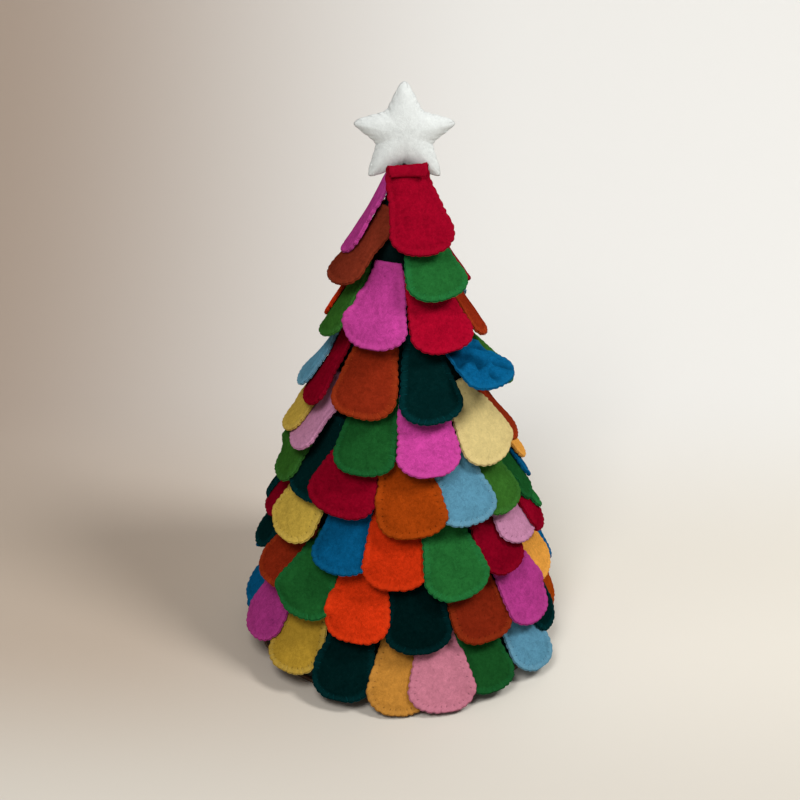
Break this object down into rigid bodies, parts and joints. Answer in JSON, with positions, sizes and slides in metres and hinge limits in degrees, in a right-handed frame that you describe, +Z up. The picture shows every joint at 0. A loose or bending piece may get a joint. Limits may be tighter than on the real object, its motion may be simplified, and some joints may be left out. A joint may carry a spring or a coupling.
{
  "type": "tabletop christmas tree",
  "caption": "Tabletop Christmas tree in wool felt: a dark cone on a round board, covered in overlapping rows of coloured, blanket stitched petals, with a stuffed white star on the tip.",
  "frame": {"origin": "centre of the underside of the round base board, on the table", "axes": "+Z up through the tip of the cone; the front, with the red petal under the star, faces -Y; +X is to the viewer's right"},
  "size_m": [0.2484, 0.2652, 0.4408],
  "materials": {
    "hardboard": "smooth brown hardboard, cut edge a little darker",
    "foam": "rough cut polystyrene foam",
    "felt_cover": "matte wool felt, nearly black green",
    "felt_magenta": "matte, slightly cloudy wool felt with a fine nap",
    "felt_red": "matte, slightly cloudy wool felt with a fine nap",
    "felt_lilac": "matte, slightly cloudy wool felt with a fine nap",
    "felt_brown": "matte, slightly cloudy wool felt with a fine nap",
    "felt_green": "matte, slightly cloudy wool felt with a fine nap",
    "felt_crimson": "matte, slightly cloudy wool felt with a fine nap",
    "felt_mustard": "matte, slightly cloudy wool felt with a fine nap",
    "felt_orange_red": "matte, slightly cloudy wool felt with a fine nap",
    "felt_rust": "matte, slightly cloudy wool felt with a fine nap",
    "felt_light_blue": "matte, slightly cloudy wool felt with a fine nap",
    "felt_dark_green": "matte, slightly cloudy wool felt with a fine nap",
    "felt_blue": "matte, slightly cloudy wool felt with a fine nap",
    "felt_pale_yellow": "matte, slightly cloudy wool felt with a fine nap",
    "felt_yellow": "matte, slightly cloudy wool felt with a fine nap",
    "felt_pink": "matte, slightly cloudy wool felt with a fine nap",
    "felt_orange_brown": "matte, slightly cloudy wool felt with a fine nap",
    "felt_mixed": "matte, slightly cloudy wool felt with a fine nap",
    "felt_star": "soft white wool felt, lightly puffed",
    "wadding": "loose white polyester wadding"
  },
  "bodies": {
    "root": {"base_board": "hardboard", "cone_core": "foam", "cone_cover": "felt_cover", "row1_petal01_magenta": "felt_magenta", "row1_petal02_red": "felt_red", "row1_petal03_lilac": "felt_lilac", "row2_petal01_brown": "felt_brown", "row2_petal02_green": "felt_green", "row2_petal03_crimson": "felt_crimson", "row2_petal04_mustard": "felt_mustard", "row3_petal01_orange_red": "felt_orange_red", "row3_petal02_green": "felt_green", "row3_petal03_magenta": "felt_magenta", "row3_petal04_red": "felt_red", "row3_petal05_rust": "felt_rust", "row3_petal06_light_blue": "felt_light_blue", "row3_petal07_dark_green": "felt_dark_green", "row4_petal01_light_blue": "felt_light_blue", "row4_petal02_crimson": "felt_crimson", "row4_petal03_rust": "felt_rust", "row4_petal04_dark_green": "felt_dark_green", "row4_petal05_blue": "felt_blue", "row4_petal06_green": "felt_green", "row4_petal07_pale_yellow": "felt_pale_yellow", "row4_petal08_orange_red": "felt_orange_red", "row4_petal09_magenta": "felt_magenta", "row5_petal01_blue": "felt_blue", "row5_petal02_yellow": "felt_yellow", "row5_petal03_lilac": "felt_lilac", "row5_petal04_green": "felt_green", "row5_petal05_magenta": "felt_magenta", "row5_petal06_pale_yellow": "felt_pale_yellow", "row5_petal07_rust": "felt_rust", "row5_petal08_mustard": "felt_mustard", "row5_petal09_dark_green": "felt_dark_green", "row5_petal10_pink": "felt_pink", "row5_petal11_light_blue": "felt_light_blue", "row6_petal01_orange_red": "felt_orange_red", "row6_petal02_green": "felt_green", "row6_petal03_dark_green": "felt_dark_green", "row6_petal04_crimson": "felt_crimson", "row6_petal05_orange_brown": "felt_orange_brown", "row6_petal06_light_blue": "felt_light_blue", "row6_petal07_green": "felt_green", "row6_petal08_green": "felt_green", "row6_petal09_blue": "felt_blue", "row6_petal10_magenta": "felt_magenta", "row6_petal11_yellow": "felt_yellow", "row6_petal12_red": "felt_red", "row6_petal13_lilac": "felt_lilac", "row6_petal14_rust": "felt_rust", "row7_petals": "felt_mixed", "row8_petals": "felt_mixed", "row9_petals": "felt_mixed", "star_front_felt": "felt_star", "star_back_felt": "felt_star", "star_filling": "wadding"}
  },
  "joints": []
}
